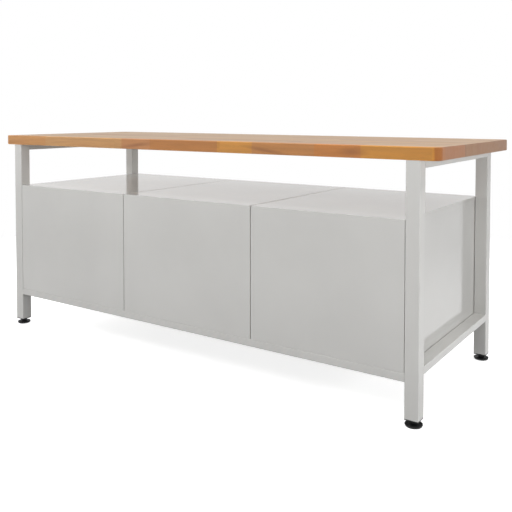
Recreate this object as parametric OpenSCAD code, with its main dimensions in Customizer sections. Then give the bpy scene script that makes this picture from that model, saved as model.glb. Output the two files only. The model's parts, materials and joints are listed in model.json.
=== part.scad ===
// Workbench with drawers: a laminated wooden worktop on a welded square-tube frame.
// Three sheet-steel cabinets stand side by side between the legs, under an open shelf
// gap, and each holds three drawers on slides. +X runs along the bench, the drawers
// open towards -Y, the plain cabinet backs face +Y, and the floor is at Z = 0.

/* [Worktop] */
// Length of the worktop
top_l = 2000; // [1850:10:2400]
// Depth of the worktop
top_w = 750; // [740:5:900]
// Thickness of the worktop
top_t = 40; // [34:1:60]
// Chamfer along every edge of the worktop
top_edge = 2; // [0.5:0.5:4]
// Corner radius of the worktop, seen from above
top_r = 25; // [10:5:60]
// Height of the bench from the floor to its top surface
bench_h = 840; // [800:5:900]
// Overhang of the worktop past the legs at each end
end_overhang = 60; // [20:5:100]
// Overhang of the worktop past the legs at the back
back_overhang = 3; // [0:1:20]
// Overhang of the worktop past the legs at the drawer side
front_overhang = 13; // [8:1:40]

/* [Frame] */
// Side of the square leg tube
leg_w = 45; // [40:1:60]
// Wall of the steel tubes
tube_wall = 2; // [1.5:0.5:3]
// Outer corner radius of the steel tubes
tube_r = 2.5; // [1:0.5:4]
// Height of the upper side rails, under the ends of the worktop
up_rail_h = 25; // [20:1:40]
// Thickness of the upper side rails
up_rail_w = 30; // [20:1:40]
// Underside of the lower side rails above the floor
side_rail_z = 153; // [100:1:200]
// Height of the lower side rails, which are as deep as the legs
side_rail_h = 25; // [20:1:60]
// Underside of the lower long rails above the floor
long_rail_z = 134; // [110:1:160]
// Height of the lower long rails
long_rail_h = 27; // [20:1:40]
// Depth of the lower long rails
long_rail_d = 50; // [45:1:70]

/* [Feet] */
// Height of the leg caps above the floor
leg_lift = 21; // [16:1:30]
// Thickness of the lip of a leg cap
cap_lip = 3; // [1:0.5:4]
// Depth of the plug of a leg cap inside its tube
cap_plug = 20; // [10:1:40]
// Largest diameter of a foot's disc
foot_d = 55; // [40:1:60]
// Diameter of a foot where it meets the floor
foot_base_d = 50; // [30:1:54]
// Height of a foot's disc
foot_h = 8; // [6:1:13]
// Bevel round the top of a foot's disc
foot_bevel = 2; // [1:0.5:4]
// Diameter of the collar above a foot's disc
collar_d = 24; // [16:1:34]
// Diameter of a foot's threaded stem
stem_d = 10; // [8:1:14]
// Length of a foot's stem above its collar
stem_l = 55; // [45:1:80]

/* [Cabinets] */
// Space taken by the left cabinet, seen from the drawer side
left_space = 560; // [450:5:600]
// Space taken by the centre cabinet
centre_space = 605; // [450:5:650]
// Gap between neighbouring cabinets
cab_gap = 3; // [1:0.5:8]
// Height of the cabinets
cab_h = 461; // [400:1:520]
// Sheet of the cabinets
cab_sheet = 1.5; // [1:0.1:2]
// Setback of the cabinets behind the legs at the drawer side
front_recess = 12; // [8:1:30]
// Setback of the cabinet backs behind the legs
back_recess = 1; // [0:1:20]

/* [Drawers] */
// Gap round each drawer front
front_gap = 2.5; // [1.5:0.5:5]
// Depth of a drawer front with its flanges
front_pan = 18; // [10:1:20]
// Sheet of the drawers
tray_sheet = 1.2; // [0.8:0.1:2]
// Height of a drawer tray
tray_h = 110; // [80:5:115]
// Depth of a drawer tray
tray_d = 670; // [520:5:690]
// Height of a tray's floor above the bottom edge of its front
tray_lift = 14; // [8:1:20]
// Travel of a drawer
travel = 500; // [300:10:520]

/* [Slides] */
// Length of a slide
slide_l = 650; // [500:10:660]
// Height of a slide
slide_h = 45; // [35:1:50]
// Thickness of a slide, between the cabinet's side and the tray
slide_w = 12.7; // [10:0.1:16]
// Sheet of a slide's members
slide_sheet = 1.5; // [1:0.1:2]
// Running clearance in a slide
slide_play = 0.3; // [0.2:0.1:0.6]
// Setback of a slide's front end behind the flanges of the drawer front
slide_setback = 2; // [1:0.5:6]

/* [Handles] */
// Height of a handle's back plate
grip_h = 26; // [20:1:34]
// Reach of a handle's lip in front of the drawer front
grip_out = 18; // [12:1:18]
// Wall of a handle
grip_wall = 2; // [1.5:0.5:3]
// Diameter of the bead along a handle's lip
grip_bead = 5; // [4:0.5:7]
// Distance of a handle below the top edge of its front
grip_drop = 3; // [1:1:10]

/* [Fasteners] */
// Diameter of the screws that hold the worktop
screw_d = 6; // [5:0.5:8]
// Depth of those screws in the worktop
screw_bite = 25; // [15:1:28]
// Diameter of their heads
screw_head_d = 12; // [10:0.5:16]
// Height of their heads
screw_head_h = 4; // [3:0.5:6]
// Room round their heads in the access holes under the upper side rails
screw_room = 1; // [0.5:0.5:2]
// Distance of the outer screws from the legs
screw_edge = 60; // [30:5:120]
// Diameter of the bolts that hold the cabinets
bolt_d = 6; // [5:0.5:8]
// Width of their heads and nuts across the corners
bolt_head_d = 11; // [10:0.5:14]
// Height of their heads
bolt_head_h = 3.5; // [3:0.5:4.5]
// Height of their nuts
nut_h = 5; // [4:0.5:7]
// Thread that shows below a nut
bolt_tip = 3; // [1:1:6]
// Distance of a bolt from its cabinet's side
bolt_side = 45; // [30:5:80]
// Distance of a bolt's axis from the long rail's inner side
bolt_edge = 12; // [10:1:16]
// Clearance round screws, bolts and stems in their holes
hole_play = 0.05; // [0.05:0.05:0.1]
// Hairline between two sheets along their spot-welded edge
seam = 0.1; // [0.05:0.05:0.2]

/* [Hidden] */
$fn = 48;
steel_colour = "#cbcbc9";
black_colour = "#1d1d1f";
zinc_colour = "#a8acb0";
wood_colour = "#c99257";
grip_colour = "#b9bcbf";

COLUMNS = ["left", "centre", "right"];
ROWS = ["bottom", "middle", "top"];
SIDES = ["left", "right"];
ENDS = ["front", "back"];
DRAWERS = [for (c = [0:2]) for (r = [0:2]) str(COLUMNS[c], "_", ROWS[r], "_drawer_")];
CORNERS = [for (s = [0:1]) for (e = [0:1]) str(ENDS[e], "_", SIDES[s], "_")];

// Frame: outer and inner faces of the legs, which every rail and cabinet meets
top_under = bench_h - top_t;
leg_x = top_l / 2 - end_overhang;
inner_x = leg_x - leg_w;
back_y = top_w / 2 - back_overhang;
front_y = front_overhang - top_w / 2;
side_l = back_y - front_y - 2 * leg_w;
tube_z = leg_lift + cap_lip;
tube_hole = leg_w - 2 * tube_wall;

// Cabinets: the right one takes what is left between the legs
right_space = 2 * inner_x - left_space - centre_space;
SPACES = [left_space, centre_space, right_space];
STARTS = [-inner_x, left_space - inner_x, left_space + centre_space - inner_x];
cab_z = long_rail_z + long_rail_h;
cab_front = front_y + front_recess;
cab_back = back_y - back_recess;
function cab_x0(c) = STARTS[c] + cab_gap / 2;
function cab_x1(c) = STARTS[c] + SPACES[c] - cab_gap / 2;

// Drawers: three equal fronts fill the opening of a cabinet
front_h = (cab_h - 2 * cab_sheet - 4 * front_gap) / 3;
function front_z(r) = cab_z + cab_sheet + front_gap + r * (front_h + front_gap);
function front_x0(c) = cab_x0(c) + cab_sheet + front_gap;
function front_x1(c) = cab_x1(c) - cab_sheet - front_gap;
function tray_x0(c) = cab_x0(c) + cab_sheet + slide_w;
function tray_x1(c) = cab_x1(c) - cab_sheet - slide_w;
function slide_z(r) = front_z(r) + tray_lift + tray_h / 2;
slide_y = cab_front + front_pan + slide_setback;

// Fasteners
bolt_y = [front_y + long_rail_d - bolt_edge, back_y - long_rail_d + bolt_edge];
function bolt_x(c) = [cab_x0(c) + bolt_side, cab_x1(c) - bolt_side];
screw_x = leg_x - up_rail_w / 2;
screw_seat = top_under - tube_wall;
mid_y = (front_y + back_y) / 2;
SCREW_Y = [for (i = [-1:1]) mid_y + i * (side_l / 2 - screw_edge)];

// A rectangle with round corners, centred on the origin
module rounded_rectangle(w, h) {
    square([w - 2 * tube_r, h], center = true);
    square([w, h - 2 * tube_r], center = true);
    for (x = [-1, 1], y = [-1, 1])
        translate([x * (w / 2 - tube_r), y * (h / 2 - tube_r)])
            circle(tube_r);
}

// A hollow tube of length l along +Z, w by h outside
module tube(l, w, h) {
    linear_extrude(l)
        difference() {
            rounded_rectangle(w, h);
            square([w - 2 * tube_wall, h - 2 * tube_wall], center = true);
        }
}

// The same tube along +X, with w its depth in Y and h its height
module tube_along_x(l, w, h) {
    translate([0, w / 2, h / 2])
        rotate([90, 0, 90])
            tube(l, w, h);
}

// The same tube along +Y, with w its thickness in X and h its height
module tube_along_y(l, w, h) {
    translate([w / 2, 0, h / 2])
        rotate([-90, 0, 0])
            tube(l, w, h);
}

// A box between two opposite corners
module span(low, high) {
    translate(low)
        cube(high - low);
}

// A box of five flat sheets, each a solid of its own, spot-welded along their edges. The
// box is open at one end of axis `way`: the sheet at its other end, number `closed`, is
// whole, the next axis has its two sheets against that one, and the last pair goes between
module sheet_box(low, high, sheet, way, closed) {
    function rank(axis) = (axis - way + 3) % 3;
    lap = sheet + seam;
    low_lap = [for (a = [0:2]) a == way && closed == 1 ? 0 : lap];
    high_lap = [for (a = [0:2]) a == way && closed == 0 ? 0 : lap];
    for (k = [0:2], side = [0, 1])
        if (k > 0 || side == closed)
            span([for (a = [0:2])
                     rank(a) < k ? low[a] + low_lap[a]
                     : rank(a) == k && side == 1 ? high[a] - sheet
                     : low[a]],
                 [for (a = [0:2])
                     rank(a) < k ? high[a] - high_lap[a]
                     : rank(a) == k && side == 0 ? low[a] + sheet
                     : high[a]]);
}

// Centre of a leg: s is 0 on the left and 1 on the right, e is 0 in front and 1 behind
function leg_at(s, e) = [
    (2 * s - 1) * (leg_x - leg_w / 2),
    e == 0 ? front_y + leg_w / 2 : back_y - leg_w / 2
];

// Section of the worktop across a run of width w, with its chamfers
module top_section(w) {
    polygon([
        [-w / 2 + top_edge, 0], [w / 2 - top_edge, 0],
        [w / 2, top_edge], [w / 2, top_t - top_edge],
        [w / 2 - top_edge, top_t], [-w / 2 + top_edge, top_t],
        [-w / 2, top_t - top_edge], [-w / 2, top_edge]
    ]);
}

module worktop() {
    color(wood_colour)
        difference() {
            translate([0, 0, top_under]) {
                translate([top_r - top_l / 2, 0, 0])
                    rotate([90, 0, 90])
                        linear_extrude(top_l - 2 * top_r)
                            top_section(top_w);
                translate([0, top_w / 2 - top_r, 0])
                    rotate([90, 0, 0])
                        linear_extrude(top_w - 2 * top_r)
                            top_section(top_l);
                for (x = [-1, 1], y = [-1, 1])
                    translate([x * (top_l / 2 - top_r), y * (top_w / 2 - top_r), 0])
                        rotate_extrude()
                            polygon([
                                [0, 0], [top_r - top_edge, 0],
                                [top_r, top_edge], [top_r, top_t - top_edge],
                                [top_r - top_edge, top_t], [0, top_t]
                            ]);
            }
            screw_holes();
        }
}

// Holes for the worktop's screws: wide ones for the heads through the rails' lower walls,
// and narrow ones through their upper walls and into the wood
module screw_holes() {
    for (s = [-1, 1], y = SCREW_Y)
        translate([s * screw_x, y, screw_seat]) {
            translate([0, 0, -1])
                cylinder(h = 1 + tube_wall + screw_bite + 1, d = screw_d + 2 * hole_play);
            translate([0, 0, tube_wall - up_rail_h - 1])
                cylinder(h = tube_wall + 2, d = screw_head_d + 2 * screw_room);
        }
}

module worktop_screws() {
    color(zinc_colour)
        for (s = [-1, 1], y = SCREW_Y)
            translate([s * screw_x, y, screw_seat]) {
                translate([0, 0, -screw_head_h])
                    cylinder(h = screw_head_h, d = screw_head_d);
                cylinder(h = tube_wall + screw_bite, d = screw_d);
            }
}

module leg(s, e) {
    at = leg_at(s, e);
    color(steel_colour)
        translate([at.x, at.y, tube_z])
            tube(top_under - tube_z, leg_w, leg_w);
}

module upper_side_rail(s) {
    color(steel_colour)
        difference() {
            translate([s == 0 ? -leg_x : leg_x - up_rail_w, front_y + leg_w, top_under - up_rail_h])
                tube_along_y(side_l, up_rail_w, up_rail_h);
            screw_holes();
        }
}

module lower_side_rail(s) {
    color(steel_colour)
        translate([s == 0 ? -leg_x : inner_x, front_y + leg_w, side_rail_z])
            tube_along_y(side_l, leg_w, side_rail_h);
}

module long_rail(e) {
    color(steel_colour)
        difference() {
            translate([-inner_x, e == 0 ? front_y : back_y - long_rail_d, long_rail_z])
                tube_along_x(2 * inner_x, long_rail_d, long_rail_h);
            bolt_holes();
        }
}

// Black plugs in the ends of the legs, bored for the stems of the feet
module leg_caps() {
    color(black_colour)
        for (s = [0, 1], e = [0, 1])
            translate([leg_at(s, e).x, leg_at(s, e).y, leg_lift])
                difference() {
                    union() {
                        linear_extrude(cap_lip)
                            rounded_rectangle(leg_w, leg_w);
                        translate([-tube_hole / 2, -tube_hole / 2, 0])
                            cube([tube_hole, tube_hole, cap_lip + cap_plug]);
                    }
                    translate([0, 0, -1])
                        cylinder(h = cap_lip + cap_plug + 2, d = stem_d + 2 * hole_play);
                }
}

// Levelling foot: a conical disc, a collar and a stem that screws into the cap
module foot(s, e) {
    at = leg_at(s, e);
    collar_top = leg_lift - slide_play;
    color(black_colour)
        translate([at.x, at.y, 0])
            rotate_extrude()
                polygon([
                    [0, 0], [foot_base_d / 2, 0],
                    [foot_d / 2, foot_h - foot_bevel], [foot_d / 2 - foot_bevel, foot_h],
                    [collar_d / 2, foot_h], [collar_d / 2, collar_top],
                    [stem_d / 2, collar_top], [stem_d / 2, collar_top + stem_l],
                    [0, collar_top + stem_l]
                ]);
}

// A cabinet: a plain back, a floor, a top and two sides, open towards the drawers
module cabinet(c) {
    color(steel_colour)
        difference() {
            sheet_box([cab_x0(c), cab_front, cab_z], [cab_x1(c), cab_back, cab_z + cab_h],
                      cab_sheet, 1, 1);
            bolt_holes();
        }
}

// Holes for the cabinet bolts, through the cabinet floors and the tops of the long rails
module bolt_holes() {
    for (c = [0:2], x = bolt_x(c), y = bolt_y)
        translate([x, y, cab_z - tube_wall - 1])
            cylinder(h = cab_sheet + tube_wall + 2, d = bolt_d + 2 * hole_play);
}

// Bolts with their heads on the cabinet floors and rivet nuts under the rails' top walls
module cabinet_bolts() {
    shank = cab_sheet + tube_wall + nut_h + bolt_tip;
    color(zinc_colour)
        for (c = [0:2], x = bolt_x(c), y = bolt_y)
            translate([x, y, cab_z + cab_sheet]) {
                cylinder(h = bolt_head_h, d = bolt_head_d, $fn = 6);
                translate([0, 0, -shank])
                    cylinder(h = shank, d = bolt_d);
                translate([0, 0, -cab_sheet - tube_wall - nut_h])
                    difference() {
                        cylinder(h = nut_h, d = bolt_head_d, $fn = 6);
                        translate([0, 0, -1])
                            cylinder(h = nut_h + 2, d = bolt_d + 2 * hole_play);
                    }
            }
}

// Section of a slide's outer member, its web on x = 0 and open towards +X
module outer_member() {
    reach = slide_w - slide_sheet - slide_play;
    translate([0, -slide_h / 2])
        square([slide_sheet, slide_h]);
    for (side = [-1, 1])
        translate([0, side * (slide_h - slide_sheet) / 2 - slide_sheet / 2])
            square([reach, slide_sheet]);
}

// Section of a slide's inner member, its web against the tray and open towards x = 0
module inner_member() {
    tall = slide_h - 2 * (slide_sheet + slide_play);
    start = slide_sheet + slide_play;
    translate([slide_w - slide_sheet, -tall / 2])
        square([slide_sheet, tall]);
    for (side = [-1, 1])
        translate([start, side * (tall - slide_sheet) / 2 - slide_sheet / 2])
            square([slide_w - start, slide_sheet]);
}

// A member on the left (m = 0) or the right (m = 1) wall of cabinet c, in row r
module slide_member(c, r, m) {
    wall = m == 0 ? cab_x0(c) + cab_sheet : cab_x1(c) - cab_sheet;
    translate([wall, slide_y + slide_l, slide_z(r)])
        mirror([m, 0, 0])
            rotate([90, 0, 0])
                linear_extrude(slide_l)
                    children();
}

// The fixed members of a cabinet's six slides
module cabinet_slides(c) {
    color(zinc_colour)
        for (r = [0:2], m = [0, 1])
            slide_member(c, r, m)
                outer_member();
}

// The two members that a drawer carries
module drawer_runners(c, r) {
    color(zinc_colour)
        for (m = [0, 1])
            slide_member(c, r, m)
                inner_member();
}

// The tray's front wall stands between the flanges of the drawer front
module drawer_tray(c, r) {
    low = [tray_x0(c), cab_front + tray_sheet, front_z(r) + tray_lift];
    high = [tray_x1(c), cab_front + tray_sheet + tray_d, front_z(r) + tray_lift + tray_h];
    color(steel_colour)
        sheet_box(low, high, tray_sheet, 2, 0);
}

// Drawer front: a plain sheet, with a flange behind each of its four edges
module drawer_front(c, r) {
    low = [front_x0(c), cab_front, front_z(r)];
    high = [front_x1(c), cab_front + front_pan, front_z(r) + front_h];
    color(steel_colour)
        sheet_box(low, high, tray_sheet, 1, 0);
}

// Handle: an angle along the whole drawer front, with a bead to pull on under its lip
module drawer_handle(c, r) {
    top = front_z(r) + front_h - grip_drop;
    color(grip_colour)
        translate([front_x0(c), cab_front, top])
            rotate([90, 0, 90])
                linear_extrude(front_x1(c) - front_x0(c)) {
                    translate([-grip_wall, -grip_h])
                        square([grip_wall, grip_h]);
                    translate([-grip_out + grip_bead / 2, -grip_wall])
                        square([grip_out - grip_bead / 2, grip_wall]);
                    translate([-grip_out + grip_bead / 2, -grip_bead / 2])
                        circle(d = grip_bead);
                }
}

worktop();
worktop_screws();
leg_caps();
cabinet_bolts();
for (e = [0:1]) {
    long_rail(e);
}
for (s = [0:1]) {
    upper_side_rail(s);
    lower_side_rail(s);
    for (e = [0:1]) {
        leg(s, e);
        foot(s, e);
    }
}
for (c = [0:2]) {
    cabinet(c);
    cabinet_slides(c);
    for (r = [0:2]) {
        drawer_tray(c, r);
        drawer_front(c, r);
        drawer_handle(c, r);
        drawer_runners(c, r);
    }
}
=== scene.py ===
"""Looks of the workbench with drawers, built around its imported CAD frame. Metres, +Z up.

The photographed side is the back (+Y): plain cabinet backs between the legs. The drawers
face -Y. Places and outer sizes come from the frame. What only the looks need, such as
roundings and sheet thicknesses, has a named value below. Each material is made of nodes.
"""

import json
import math

import bmesh
import bpy
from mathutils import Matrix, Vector

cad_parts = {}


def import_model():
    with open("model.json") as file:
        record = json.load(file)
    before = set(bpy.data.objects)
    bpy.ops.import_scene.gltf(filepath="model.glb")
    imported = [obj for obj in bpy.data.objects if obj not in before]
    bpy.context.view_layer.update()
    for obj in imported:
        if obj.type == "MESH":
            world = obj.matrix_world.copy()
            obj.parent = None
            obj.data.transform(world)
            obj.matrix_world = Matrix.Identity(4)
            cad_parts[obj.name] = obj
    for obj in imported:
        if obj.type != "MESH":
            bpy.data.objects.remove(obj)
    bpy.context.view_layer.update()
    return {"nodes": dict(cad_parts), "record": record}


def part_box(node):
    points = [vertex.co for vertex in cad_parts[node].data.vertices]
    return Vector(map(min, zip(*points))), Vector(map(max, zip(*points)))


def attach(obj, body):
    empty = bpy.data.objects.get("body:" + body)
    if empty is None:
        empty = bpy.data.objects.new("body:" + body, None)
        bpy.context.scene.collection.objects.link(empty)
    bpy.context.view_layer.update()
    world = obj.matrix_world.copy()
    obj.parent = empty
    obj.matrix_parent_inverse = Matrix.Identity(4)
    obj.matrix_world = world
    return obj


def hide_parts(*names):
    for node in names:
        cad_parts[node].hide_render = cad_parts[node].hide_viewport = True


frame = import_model()
NODES = frame["nodes"]
COLUMNS = ("left", "centre", "right")
ROWS = ("bottom", "middle", "top")
DRAWERS = [f"{column}_{row}_drawer" for column in COLUMNS for row in ROWS]
BODY_OF = {node: body for body, nodes in frame["record"]["behaviour"]["bodies"].items() for node in nodes}
SLOT_OF = {part["node"]: part["material_slot"] for part in frame["record"]["subparts"]}


# ---------------------------------------------------------------- shader helpers

def srgb(red, green, blue):
    """An 8-bit screen colour as the linear RGBA that shader sockets take."""
    def linear(value):
        value /= 255
        return value / 12.92 if value <= 0.04045 else ((value + 0.055) / 1.055) ** 2.4
    return (linear(red), linear(green), linear(blue), 1.0)


def toned(colour, factor):
    """A colour made darker or lighter by a factor."""
    return tuple(min(1.0, factor * channel) for channel in colour[:3]) + (1.0,)


class Graph:
    """The node tree of a new material or world, with short calls for the nodes used here."""

    def __init__(self, name, made_in=None, output="ShaderNodeOutputMaterial"):
        self.owner = (bpy.data.materials if made_in is None else made_in).new(name)
        self.owner.use_nodes = True
        self.tree = self.owner.node_tree
        self.tree.nodes.clear()
        self.output = self.add(output)

    def add(self, kind, **settings):
        made = self.tree.nodes.new(kind)
        for key, value in settings.items():
            setattr(made, key, value)
        return made

    def put(self, socket, value):
        """Sets a socket to a constant, or links it when value is another socket."""
        if isinstance(value, bpy.types.NodeSocket):
            self.tree.links.new(value, socket)
        else:
            socket.default_value = value

    def math(self, operation, first, second=0.0):
        made = self.add("ShaderNodeMath", operation=operation)
        self.put(made.inputs[0], first)
        self.put(made.inputs[1], second)
        return made.outputs[0]

    def plus(self, first, second):
        return self.math("ADD", first, second)

    def minus(self, first, second):
        return self.math("SUBTRACT", first, second)

    def times(self, first, second):
        return self.math("MULTIPLY", first, second)

    def over(self, first, second):
        return self.math("DIVIDE", first, second)

    def vector(self, operation, first, second=(0.0, 0.0, 0.0)):
        made = self.add("ShaderNodeVectorMath", operation=operation)
        self.put(made.inputs[0], first)
        self.put(made.inputs[1], second)
        return made.outputs["Value" if operation == "LENGTH" else "Vector"]

    def place(self):
        return self.add("ShaderNodeTexCoord").outputs["Object"]

    def split(self, vector):
        made = self.add("ShaderNodeSeparateXYZ")
        self.put(made.inputs[0], vector)
        return made.outputs

    def join(self, x, y, z):
        made = self.add("ShaderNodeCombineXYZ")
        for socket, value in zip(made.inputs, (x, y, z)):
            self.put(socket, value)
        return made.outputs[0]

    def noise(self, vector, scale, detail):
        made = self.add("ShaderNodeTexNoise")
        self.put(made.inputs["Vector"], vector)
        self.put(made.inputs["Scale"], scale)
        self.put(made.inputs["Detail"], detail)
        return made.outputs["Fac"]

    def grain(self, vector, stretch, detail):
        """Noise with a scale of its own for each axis: small along the grain, large across."""
        return self.noise(self.vector("MULTIPLY", vector, stretch), 1.0, detail)

    def random(self, vector):
        """A chance value and colour for each whole-numbered vector."""
        made = self.add("ShaderNodeTexWhiteNoise", noise_dimensions="3D")
        self.put(made.inputs["Vector"], vector)
        return made.outputs

    def ramp(self, factor, stops, interpolation="LINEAR"):
        made = self.add("ShaderNodeValToRGB")
        self.put(made.inputs[0], factor)
        made.color_ramp.interpolation = interpolation
        elements = made.color_ramp.elements
        while len(elements) < len(stops):
            elements.new(0.5)
        for element, (position, colour) in zip(elements, stops):
            element.position = position
            element.color = colour
        return made.outputs["Color"]

    def scale_range(self, value, low, high, to_low, to_high):
        made = self.add("ShaderNodeMapRange")
        for key, number in (("Value", value), ("From Min", low), ("From Max", high),
                            ("To Min", to_low), ("To Max", to_high)):
            self.put(made.inputs[key], number)
        return made.outputs[0]

    def mix(self, factor, first, second, blend="MIX"):
        made = self.add("ShaderNodeMix", data_type="RGBA", blend_type=blend)
        self.put(made.inputs[0], factor)
        self.put(made.inputs[6], first)
        self.put(made.inputs[7], second)
        return made.outputs[2]

    def bump(self, height, strength, distance):
        made = self.add("ShaderNodeBump")
        self.put(made.inputs["Height"], height)
        self.put(made.inputs["Strength"], strength)
        self.put(made.inputs["Distance"], distance)
        return made.outputs["Normal"]

    def surface(self, **sockets):
        """The principled shader that ends the tree; words in a name are split by _."""
        shader = self.add("ShaderNodeBsdfPrincipled")
        for key, value in sockets.items():
            self.put(shader.inputs[key.replace("_", " ")], value)
        self.put(self.output.inputs["Surface"], shader.outputs[0])
        return self.owner

    def shader(self, kind, grey, strength=None):
        """A plain shader in a grey, with its strength where it has one."""
        made = self.add(kind)
        self.put(made.inputs["Color"], (grey, grey, grey, 1.0))
        if strength is not None:
            self.put(made.inputs["Strength"], strength)
        return made.outputs[0]

    def seen_ray(self):
        """1 on the rays that should see a white background, and 0 on those that carry light."""
        path = self.add("ShaderNodeLightPath").outputs
        mirrored = self.math("MAXIMUM", path["Is Glossy Ray"], path["Is Transmission Ray"])
        return self.math("MAXIMUM", path["Is Camera Ray"], mirrored)

    def blend(self, factor, first, second):
        """Two shaders mixed, or added where factor is None."""
        made = self.add("ShaderNodeAddShader" if factor is None else "ShaderNodeMixShader")
        if factor is not None:
            self.put(made.inputs[0], factor)
        self.put(made.inputs[-2], first)
        self.put(made.inputs[-1], second)
        return made.outputs[0]


# ---------------------------------------------------------------- materials

# In the values of this part, a pair for a noise is its scale and detail. Four numbers are a
# range: the two ends of what goes in, and what comes out at each.

# Powder coat: clouds in its colour, spots that shine more or less, and orange peel
COAT_CLOUDS = (3.0, 3.0)
COAT_DARKEST = 0.965
COAT_LIGHTEST = 1.03
COAT_SPOTS = (45.0, 2.0)
COAT_SMOOTHEST = 0.85
COAT_ROUGHEST = 1.2
COAT_PEEL = (420.0, 1.5)
COAT_PEEL_HEIGHT = 0.0003


def powder_coat(name, colour, roughness, peel):
    """Glossy powder coat: faint clouds in its colour, and an orange-peel surface."""
    g = Graph(name)
    place = g.place()
    tones = [(0.3, toned(colour, COAT_DARKEST)), (0.7, toned(colour, COAT_LIGHTEST))]
    spots = g.noise(place, *COAT_SPOTS)
    smoothest, roughest = roughness * COAT_SMOOTHEST, roughness * COAT_ROUGHEST
    return g.surface(
        Base_Color=g.ramp(g.noise(place, *COAT_CLOUDS), tones),
        Roughness=g.scale_range(spots, 0.2, 0.8, smoothest, roughest),
        Normal=g.bump(g.noise(place, *COAT_PEEL), peel, COAT_PEEL_HEIGHT),
        IOR=1.5,
    )


# Worktop: rows of staves along X, how far chance shifts a row, in staves, and the tones
# that a stave inside it can have
STAVE_ROWS = 17
STAVE_LENGTH = 0.52
ROW_SHIFT = 7.0
ROW_SEED = (3.7, 1.9)
STAVE_SEED = 0.37
INNER_TONES = (
    (0.0, srgb(192, 158, 116)),
    (0.3, srgb(188, 150, 102)),
    (0.55, srgb(182, 140, 90)),
    (0.75, srgb(188, 144, 84)),
    (0.9, srgb(174, 126, 78)),
    (1.0, srgb(162, 114, 72)),
)
# The staves of its back edge, by where they start along X
EDGE_STAVES = (
    (-1.000, srgb(222, 154, 62)),
    (-0.750, srgb(210, 136, 66)),
    (-0.592, srgb(202, 140, 79)),
    (-0.347, srgb(221, 155, 68)),
    (-0.200, srgb(200, 134, 70)),
    (0.123, srgb(206, 144, 92)),
    (0.271, srgb(216, 165, 106)),
    (0.720, srgb(215, 156, 92)),
)
# Growth rings: how far a stave's heart lies off and below it, rings in radians for each
# metre, and how far they wander
HEART_SPREAD = 0.16
HEART_DEPTH = 0.03
RING_DENSITY = 1450.0
RING_WANDER = 0.02
RING_SHADE = (-1.0, 1.0, 0.94, 1.03)
# Grain: the stretch of each noise along X, Y and Z, its detail, and its range
WANDER = ((2.2, 9.0, 9.0), 2.0)
STREAKS = ((5.0, 70.0, 70.0), 4.0)
STREAK_SHADE = (0.3, 0.7, 0.90, 1.07)
STREAK_ROUGHNESS = (0.2, 0.8, 0.34, 0.46)
FLECKS = ((110.0, 900.0, 900.0), 1.0)
FLECK_SHADE = (0.62, 0.78, 1.0, 0.82)
HEARTWOOD = ((3.0, 26.0, 26.0), 3.0)
HEARTWOOD_AMOUNT = (0.55, 0.75, 0.0, 0.35)
HEARTWOOD_TONE = srgb(168, 104, 62)
# Dark figures in the back edge: place along X and height in the edge from 0 to 1, half
# length, half height and slant
FIGURES = (
    (0.200, 0.40, 0.085, 0.007, -0.10),
    (-0.400, 0.36, 0.095, 0.007, 0.12),
    (-0.722, 0.45, 0.050, 0.013, 0.0),
)
FIGURE_FLOW = 0.02
FIGURE_AMOUNT = (0.2, 1.25, 0.5, 0.0)
FIGURE_TONE = srgb(118, 70, 44)
# The ends: how much of a face is an end, by the X of its normal, how much oil it drinks,
# and where along Y two boards meet, with the tone of each and the line between them
END_FACING = (0.05, 0.4, 0.0, 1.0)
END_OIL = 0.88
END_JOINT = 0.14
END_TONES = (srgb(134, 90, 52), srgb(148, 88, 42))
END_LINE_AMOUNT = (0.0015, 0.005, 0.8, 0.0)
END_LINE_TONE = srgb(84, 50, 30)
# Hairline joints between rows, by how far a point lies from the middle of its row
JOINT_AMOUNT = (0.488, 0.5, 0.0, 0.35)
JOINT_TONE = srgb(120, 78, 48)
# What the rings and the streaks each add to the relief, and the relief itself
RING_RELIEF = 0.25
STREAK_RELIEF = 1.2
RELIEF_STRENGTH = 0.12
RELIEF_HEIGHT = 0.0004


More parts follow.
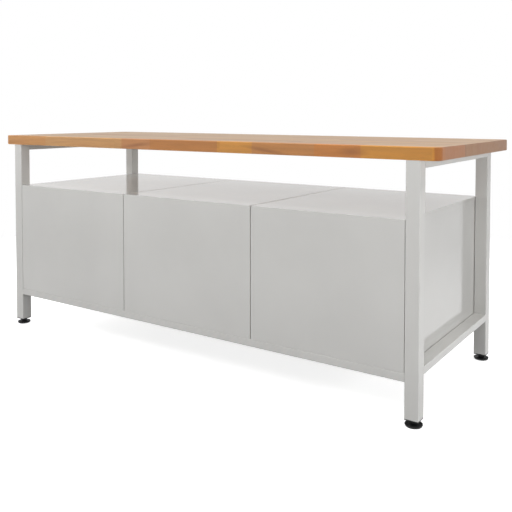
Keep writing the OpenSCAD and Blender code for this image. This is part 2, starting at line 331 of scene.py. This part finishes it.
def beech():
    """Oiled beech staves: a tone for each stave, growth rings through the solid, and fine grain."""
    g = Graph("beech_staves")
    low, high = (Vector(corner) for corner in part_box("worktop"))
    size = high - low
    place = g.place()
    x, y, z = g.split(place)
    rows = g.times(g.minus(y, low.y), STAVE_ROWS / size.y)
    row = g.math("FLOOR", rows)
    row_shift = g.times(g.random(g.join(row, *ROW_SEED))["Value"], ROW_SHIFT)
    stave = g.math("FLOOR", g.plus(g.over(x, STAVE_LENGTH), row_shift))
    chance = g.random(g.join(row, stave, STAVE_SEED))
    edge_stops = [((start - low.x) / size.x, tone) for start, tone in EDGE_STAVES]
    edge_colour = g.ramp(g.over(g.minus(x, low.x), size.x), edge_stops, "CONSTANT")
    last_row = STAVE_ROWS - 1
    at_edge = g.math("GREATER_THAN", row, last_row - 0.5)
    wood = g.mix(at_edge, g.ramp(chance["Value"], INNER_TONES), edge_colour)

    # Growth rings round a heart that lies off each stave, so faces show lines and ends show arcs
    heart = g.vector("SUBTRACT", chance["Color"], (0.5, 0.5, 0.5))
    shifted = g.vector("ADD", place, g.vector("MULTIPLY", heart, (HEART_SPREAD,) * 3))
    cross_cut = g.vector("MULTIPLY", shifted, (0.0, 1.0, 1.0))
    radius = g.vector("LENGTH", g.vector("SUBTRACT", cross_cut, (0.0, 0.0, low.z - HEART_DEPTH)))
    wander = g.grain(place, *WANDER)
    rings = g.math("SINE", g.times(g.plus(radius, g.times(wander, RING_WANDER)), RING_DENSITY))
    streaks = g.grain(shifted, *STREAKS)
    shade = g.times(g.scale_range(rings, *RING_SHADE), g.scale_range(streaks, *STREAK_SHADE))
    shade = g.times(shade, g.scale_range(g.grain(place, *FLECKS), *FLECK_SHADE))
    wood = g.mix(1.0, wood, g.join(shade, shade, shade), "MULTIPLY")
    heartwood = g.scale_range(g.grain(shifted, *HEARTWOOD), *HEARTWOOD_AMOUNT)
    wood = g.mix(heartwood, wood, HEARTWOOD_TONE)

    # Dark figures, in the back edge alone
    flow = g.times(g.minus(wander, 0.5), FIGURE_FLOW)
    for at_x, level, half_length, half_height, slant in FIGURES:
        run = g.minus(x, at_x)
        rise = g.minus(g.minus(z, low.z + level * size.z), g.times(run, slant))
        away = g.join(g.over(run, half_length), g.over(g.plus(rise, flow), half_height), 0.0)
        amount = g.scale_range(g.vector("LENGTH", away), *FIGURE_AMOUNT)
        wood = g.mix(g.times(amount, at_edge), wood, FIGURE_TONE)

    # End grain drinks more oil, so the two ends are darker
    facing = g.math("ABSOLUTE", g.split(g.add("ShaderNodeNewGeometry").outputs["Normal"])[0])
    end_tone = g.mix(g.math("GREATER_THAN", y, END_JOINT), *END_TONES)
    end_line = g.scale_range(g.math("ABSOLUTE", g.minus(y, END_JOINT)), *END_LINE_AMOUNT)
    end_tone = g.mix(end_line, end_tone, END_LINE_TONE)
    wood = g.mix(g.scale_range(facing, *END_FACING), wood, g.mix(END_OIL, wood, end_tone))

    off_middle = g.math("ABSOLUTE", g.minus(g.math("FRACT", rows), 0.5))
    relief = g.plus(g.times(rings, RING_RELIEF), g.times(streaks, STREAK_RELIEF))
    return g.surface(
        Base_Color=g.mix(g.scale_range(off_middle, *JOINT_AMOUNT), wood, JOINT_TONE),
        Roughness=g.scale_range(streaks, *STREAK_ROUGHNESS),
        Normal=g.bump(relief, RELIEF_STRENGTH, RELIEF_HEIGHT),
        IOR=1.47,
        Specular_IOR_Level=0.5,
    )


PLASTIC_GRAIN = (1600.0, 2.0)
PLASTIC_GRAIN_STRENGTH = 0.25
PLASTIC_GRAIN_HEIGHT = 0.0002
PLASTIC_SCUFFS = (60.0, 4.0)
PLASTIC_TONES = ((0.45, srgb(9, 9, 10)), (0.8, srgb(24, 24, 26)))
PLASTIC_ROUGHNESS = (0.3, 0.7, 0.42, 0.6)


def black_plastic():
    """Grained black nylon, with scuffed lighter patches."""
    g = Graph("black_plastic")
    place = g.place()
    scuffs = g.noise(place, *PLASTIC_SCUFFS)
    grain = g.noise(place, *PLASTIC_GRAIN)
    return g.surface(
        Base_Color=g.ramp(scuffs, PLASTIC_TONES),
        Roughness=g.scale_range(scuffs, *PLASTIC_ROUGHNESS),
        Normal=g.bump(grain, PLASTIC_GRAIN_STRENGTH, PLASTIC_GRAIN_HEIGHT),
        IOR=1.5,
        Specular_IOR_Level=0.3,
    )


METAL_LINE_DETAIL = 3.0
METAL_LINE_SHARE = 0.6
METAL_LINE_STRENGTH = 0.15
METAL_LINE_HEIGHT = 0.0002
METAL_STAINS = (14.0, 3.0)
METAL_STAIN_SHARE = 0.4
METAL_DARKEST = 0.86
METAL_SMOOTHEST = 0.8
METAL_ROUGHEST = 1.25


def brushed_metal(name, colour, stretch, roughness):
    """Metal with fine lines along one direction: stretch is small along the lines."""
    g = Graph(name)
    place = g.place()
    lines = g.grain(place, stretch, METAL_LINE_DETAIL)
    stains = g.noise(place, *METAL_STAINS)
    wear = g.plus(g.times(lines, METAL_LINE_SHARE), g.times(stains, METAL_STAIN_SHARE))
    smoothest, roughest = roughness * METAL_SMOOTHEST, roughness * METAL_ROUGHEST
    return g.surface(
        Base_Color=g.ramp(wear, [(0.35, toned(colour, METAL_DARKEST)), (0.65, colour)]),
        Metallic=1.0,
        Roughness=g.scale_range(lines, 0.25, 0.75, smoothest, roughest),
        Normal=g.bump(lines, METAL_LINE_STRENGTH, METAL_LINE_HEIGHT),
    )


LIGHT_GREY = srgb(206, 205, 202)
MATERIALS = {
    "worktop": beech(),
    "frame_steel": powder_coat("frame_powder_coat", LIGHT_GREY, 0.20, 0.04),
    "cabinet_steel": powder_coat("cabinet_powder_coat", LIGHT_GREY, 0.11, 0.02),
    "drawer_steel": powder_coat("drawer_powder_coat", srgb(196, 196, 194), 0.30, 0.08),
    "black_plastic": black_plastic(),
    "handle": brushed_metal("satin_aluminium", srgb(202, 204, 206), (6.0, 900.0, 900.0), 0.34),
    "zinc": brushed_metal("zinc_plate", srgb(186, 190, 194), (300.0, 8.0, 300.0), 0.30),
}


# ---------------------------------------------------------------- pieces

# Worktop: rounding of its edges, and of its corners seen from above, each with its steps
TOP_RADIUS = 0.0035
TOP_RADIUS_STEPS = 4
TOP_CORNER = 0.025
TOP_CORNER_STEPS = 10
# Sheet metal: thicknesses, and outer bends with their steps
CABINET_SHEET = 0.0015
CABINET_BEND = 0.0012
CABINET_BEND_STEPS = 4
DRAWER_SHEET = 0.0012
FRONT_BEND = 0.0018
FRONT_BEND_STEPS = 3
# Cosine from which a face looks towards a side, length from which an edge is upright, and
# angle in radians from which two faces meet at a rim
FACING_COSINE = 0.99
UPRIGHT_RISE = 0.001
RIM_ANGLE = 1.0
# Trays: bend round the floor, width and depth of the rim that is rolled inwards, and
# rounding of the upright corners, outside and at least
TRAY_BEND = 0.002
TRAY_ROLL = 0.0036
TRAY_HEM = 0.006
TRAY_CORNER = 0.0025
LEAST_CORNER = 0.0003
# Feet: the disc's radius on the floor, its bevel there, and its height and upper rounding
FOOT_BASE = 0.025
BASE_SHARE = 0.97
BASE_BEVEL = 0.0006
FOOT_RISE = 0.008
FOOT_ROUND = 0.0022
DISC_SIDES = 64
# The groove in the disc: shares of its radius, each with a depth
FOOT_GROOVE = ((0.80, 0.0), (0.78, 0.0008), (0.76, 0.0008), (0.74, 0.0))
# The hexagonal collar, with its seat on the disc and its bevels, and the threaded stem
COLLAR_RADIUS = 0.012
COLLAR_TOP = 0.0207
SEAT_SHARE = 1.05
COLLAR_SHARE = 0.92
COLLAR_BEVEL = 0.001
COLLAR_SIDES = 6
STEM_RADIUS = 0.005
STEM_SIDES = 32
THREAD_PITCH = 0.0015
THREAD_DEPTH = 0.0007
# Angle from which an edge of a foot stays sharp
SHARP_ANGLE = math.radians(35)


def finish_nodes():
    """Every CAD node takes the material of its slot."""
    for name, piece in NODES.items():
        piece.data.materials.clear()
        piece.data.materials.append(MATERIALS[SLOT_OF[name]])


def stand_in(name, piece):
    """A modelled piece takes a CAD node's place, body, slot and material."""
    piece.data.materials.append(MATERIALS[SLOT_OF[name]])
    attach(piece, BODY_OF[name])
    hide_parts(name)


def as_piece(name, mesh):
    """A finished bmesh as an object in the scene, shaded smooth."""
    data = bpy.data.meshes.new(name)
    mesh.to_mesh(data)
    mesh.free()
    for polygon in data.polygons:
        polygon.use_smooth = True
    piece = bpy.data.objects.new(name, data)
    bpy.context.scene.collection.objects.link(piece)
    return piece


def flatten_faces(piece):
    """Normals weighted by area, so that the large faces look flat and only the edges round."""
    weighted = piece.modifiers.new("flat_faces", "WEIGHTED_NORMAL")
    weighted.keep_sharp = True
    return piece


def box_mesh(low, high):
    """A plain box as a bmesh, for the functions below to round."""
    mesh = bmesh.new()
    bmesh.ops.create_cube(mesh, size=1.0)
    for vertex in mesh.verts:
        vertex.co = Vector(low[i] if vertex.co[i] < 0 else high[i] for i in range(3))
    mesh.normal_update()
    return mesh


def round_off(mesh, edges, radius, steps):
    bmesh.ops.bevel(mesh, geom=edges, offset=radius, segments=steps, profile=0.5, affect="EDGES")


def folded_box(name, low, high, radius, steps, open_side, sheet):
    """Bent sheet metal: a box with rounded edges that is open on one side, a unit vector."""
    mesh = box_mesh(low, high)
    lid = max(mesh.faces, key=lambda face: face.normal.dot(Vector(open_side)))
    rim = set(lid.edges)
    round_off(mesh, [edge for edge in mesh.edges if edge not in rim], radius, steps)
    mesh.normal_update()
    lids = [face for face in mesh.faces if face.normal.dot(Vector(open_side)) > FACING_COSINE]
    bmesh.ops.delete(mesh, geom=lids, context="FACES")
    piece = as_piece(name, mesh)
    wall = piece.modifiers.new("sheet", "SOLIDIFY")
    wall.thickness = sheet
    wall.offset = -1.0
    wall.use_even_offset = True
    return flatten_faces(piece)


def rounded_slab(name, low, high):
    """The worktop: round corners seen from above, then round edges above and below."""
    mesh = box_mesh(low, high)
    upright = [edge for edge in mesh.edges
               if abs(edge.verts[0].co.z - edge.verts[1].co.z) > UPRIGHT_RISE]
    round_off(mesh, upright, TOP_CORNER, TOP_CORNER_STEPS)
    rims = [edge for edge in mesh.edges if edge.calc_face_angle() > RIM_ANGLE]
    round_off(mesh, rims, TOP_RADIUS, TOP_RADIUS_STEPS)
    return flatten_faces(as_piece(name, mesh))


def skin(mesh, rings):
    """Faces between rings of vertices, and one at each end, as one closed surface."""
    count = len(rings[0])
    for below, above in zip(rings, rings[1:]):
        for i in range(count):
            j = (i + 1) % count
            mesh.faces.new((below[i], below[j], above[j], above[i]))
    mesh.faces.new(reversed(rings[0]))
    mesh.faces.new(rings[-1])


def arc(start, end, steps=4):
    """Angles from start to end in equal steps, both in degrees."""
    return [math.radians(start + (end - start) * step / steps) for step in range(steps + 1)]


def drawer_pan(name, low, high):
    """A drawer tray in one closed surface: bent floor edges, upright walls and a rolled rim."""
    floor_z, top_z = low[2], high[2]
    inner_bend = TRAY_BEND - DRAWER_SHEET
    roll = TRAY_ROLL / 2
    profile = [(TRAY_BEND * (1 - math.sin(t)), floor_z + TRAY_BEND * (1 - math.cos(t)))
               for t in arc(0, 90)]
    profile += [(roll * (1 - math.cos(t)), top_z - roll * (1 - math.sin(t))) for t in arc(0, 180, 6)]
    profile += [(TRAY_ROLL, top_z - TRAY_HEM), (DRAWER_SHEET, top_z - TRAY_HEM)]
    profile += [(TRAY_BEND - inner_bend * math.sin(t), floor_z + TRAY_BEND - inner_bend * math.cos(t))
                for t in arc(90, 0)]
    mesh = bmesh.new()
    rings = []
    for inset, z in profile:
        radius = max(TRAY_CORNER - inset, LEAST_CORNER)
        edge = inset + radius
        corners = ((high[0] - edge, high[1] - edge), (low[0] + edge, high[1] - edge),
                   (low[0] + edge, low[1] + edge), (high[0] - edge, low[1] + edge))
        rings.append([
            mesh.verts.new((x + radius * math.cos(t), y + radius * math.sin(t), z))
            for quarter, (x, y) in enumerate(corners) for t in arc(90 * quarter, 90 * quarter + 90)])
    skin(mesh, rings)
    return flatten_faces(as_piece(name, mesh))


def turned(mesh, centre, outline, sides):
    """A closed form round the upright axis at centre, from an outline of radius and height."""
    rings = []
    for radius, z in outline:
        rings.append([
            mesh.verts.new((centre[0] + radius * math.cos(t), centre[1] + radius * math.sin(t), z))
            for t in arc(0, 360, sides)[:-1]])
    skin(mesh, rings)


def levelling_foot(name, low, high):
    """A moulded disc with a groove, a hexagonal collar and a threaded stem, in one mesh."""
    centre = ((low[0] + high[0]) / 2, (low[1] + high[1]) / 2)
    disc = (high[0] - low[0]) / 2
    mesh = bmesh.new()
    rim = [(disc - FOOT_ROUND * (1 - math.sin(t)), FOOT_RISE - FOOT_ROUND * (1 - math.cos(t)))
           for t in arc(90, 0)]
    groove = [(disc * share, FOOT_RISE - depth) for share, depth in FOOT_GROOVE]
    turned(mesh, centre, [
        (FOOT_BASE * BASE_SHARE, low[2]), (FOOT_BASE, low[2] + BASE_BEVEL),
        (disc, FOOT_RISE - FOOT_ROUND), *rim[1:], *groove,
        (COLLAR_RADIUS * SEAT_SHARE, FOOT_RISE)], DISC_SIDES)
    collar_end = COLLAR_RADIUS * COLLAR_SHARE
    turned(mesh, centre, [
        (collar_end, FOOT_RISE), (COLLAR_RADIUS, FOOT_RISE + COLLAR_BEVEL),
        (COLLAR_RADIUS, COLLAR_TOP - COLLAR_BEVEL), (collar_end, COLLAR_TOP)], COLLAR_SIDES)
    root = STEM_RADIUS - THREAD_DEPTH
    thread = []
    for turn in range(int((high[2] - COLLAR_TOP) / THREAD_PITCH)):
        z = COLLAR_TOP + turn * THREAD_PITCH
        thread += [(root, z), (STEM_RADIUS, z + THREAD_PITCH / 2)]
    turned(mesh, centre, [*thread, (root, high[2])], STEM_SIDES)
    piece = as_piece(name, mesh)
    piece.data.set_sharp_from_angle(angle=SHARP_ANGLE)
    return piece


finish_nodes()
stand_in("worktop", rounded_slab("worktop_board", *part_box("worktop")))
for column in COLUMNS:
    node = f"{column}_cabinet"
    stand_in(node, folded_box(f"{node}_shell", *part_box(node), CABINET_BEND, CABINET_BEND_STEPS,
                              (0, -1, 0), CABINET_SHEET))
for drawer in DRAWERS:
    front = f"{drawer}_front"
    tray = f"{drawer}_tray"
    stand_in(front, folded_box(f"{front}_pan", *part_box(front), FRONT_BEND, FRONT_BEND_STEPS,
                               (0, 1, 0), DRAWER_SHEET))
    stand_in(tray, drawer_pan(f"{tray}_pan", *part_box(tray)))
for side in ("left", "right"):
    for end in ("front", "back"):
        node = f"{end}_{side}_foot"
        stand_in(node, levelling_foot(f"{node}_turned", *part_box(node)))


# ---------------------------------------------------------------- studio

# Light from all round, and the floor: its size, its white and glow as seen, how it fades
# into the background from the middle outwards, and the grey that it has for other rays
AMBIENT = 0.16
FLOOR_REACH = 30
FLOOR_WHITE = 0.8
FLOOR_GLOW = 0.72
FLOOR_FADE = (1.7, 3.0, 1.0, 0.0)
FLOOR_BOUNCE = 0.20
# Softboxes: place, width, height and power, all aimed at one point in the bench. Only the
# one named here shows in glossy surfaces.
LIT_POINT = (0.0, 0.0, 0.5)
MIRRORED_SOFTBOX = "overhead"
SOFTBOXES = {
    "overhead": ((0.0, 1.3, 3.0), 3.6, 0.35, 15),
    "back": ((0.8, 2.2, 0.8), 4.6, 0.4, 17),
    "high_back": ((0.1, 1.5, 1.3), 3.6, 0.4, 12),
    "end": ((-2.5, 0.3, 0.8), 1.4, 0.3, 11),
    "high_end": ((-1.9, -0.2, 2.4), 1.0, 0.5, 12),
    "corner": ((-2.5, 2.0, 0.9), 1.6, 0.7, 15),
    "far_end": ((3.2, 0.1, 1.1), 2.0, 0.8, 40),
    "front": ((0.4, -3.6, 3.0), 3.4, 1.8, 30),
    "low_front": ((0.4, -3.4, 1.2), 3.4, 0.8, 75),
}


def floor():
    """Floor that looks white, keeps the bench's soft shadow, and throws little light back up."""
    data = bpy.data.meshes.new("floor")
    corners = [(FLOOR_REACH * x, FLOOR_REACH * y, 0) for x, y in ((-1, -1), (1, -1), (1, 1), (-1, 1))]
    data.from_pydata(corners, [], [(0, 1, 2, 3)])
    piece = bpy.data.objects.new("floor", data)
    bpy.context.scene.collection.objects.link(piece)
    g = Graph("floor_white")
    near = g.scale_range(g.vector("LENGTH", g.place()), *FLOOR_FADE)
    white = g.shader("ShaderNodeBsdfDiffuse", FLOOR_WHITE)
    shaded = g.blend(None, white, g.shader("ShaderNodeEmission", 1.0, FLOOR_GLOW))
    shown = g.blend(near, g.shader("ShaderNodeEmission", 1.0, 1.0), shaded)
    lit = g.shader("ShaderNodeBsdfDiffuse", FLOOR_BOUNCE)
    g.put(g.output.inputs["Surface"], g.blend(g.seen_ray(), lit, shown))
    data.materials.append(g.owner)


def world():
    """White to the camera and to reflections, a plain grey level for the light itself."""
    g = Graph("studio", bpy.data.worlds, "ShaderNodeOutputWorld")
    strength = g.scale_range(g.seen_ray(), 0.0, 1.0, AMBIENT, 1.0)
    g.put(g.output.inputs["Surface"], g.shader("ShaderNodeBackground", 1.0, strength))
    bpy.context.scene.world = g.owner


def softbox(name, place, width, height, watts):
    """A lamp that the camera can't see, aimed at the lit point."""
    lamp = bpy.data.lights.new(name, "AREA")
    lamp.shape = "RECTANGLE"
    lamp.size = width
    lamp.size_y = height
    lamp.energy = watts
    piece = bpy.data.objects.new(name, lamp)
    bpy.context.scene.collection.objects.link(piece)
    piece.visible_camera = False
    piece.visible_glossy = name == MIRRORED_SOFTBOX
    piece.location = place
    aim = Vector(LIT_POINT) - Vector(place)
    piece.rotation_euler = aim.to_track_quat("-Z", "Y").to_euler()


floor()
world()
for name, settings in SOFTBOXES.items():
    softbox(name, *settings)

# Camera: behind the bench and to one side, a little above the worktop and almost level
camera = bpy.data.objects.new("camera", bpy.data.cameras.new("camera"))
bpy.context.scene.collection.objects.link(camera)
camera.data.sensor_width = 36.0
camera.data.lens = 48.51
camera.data.shift_y = -0.231
camera.location = (-1.675, 2.303, 0.937)
camera.rotation_euler = (math.radians(88.0), 0.0, math.radians(214.26))
bpy.context.scene.camera = camera
bpy.context.scene.view_settings.view_transform = "Standard"
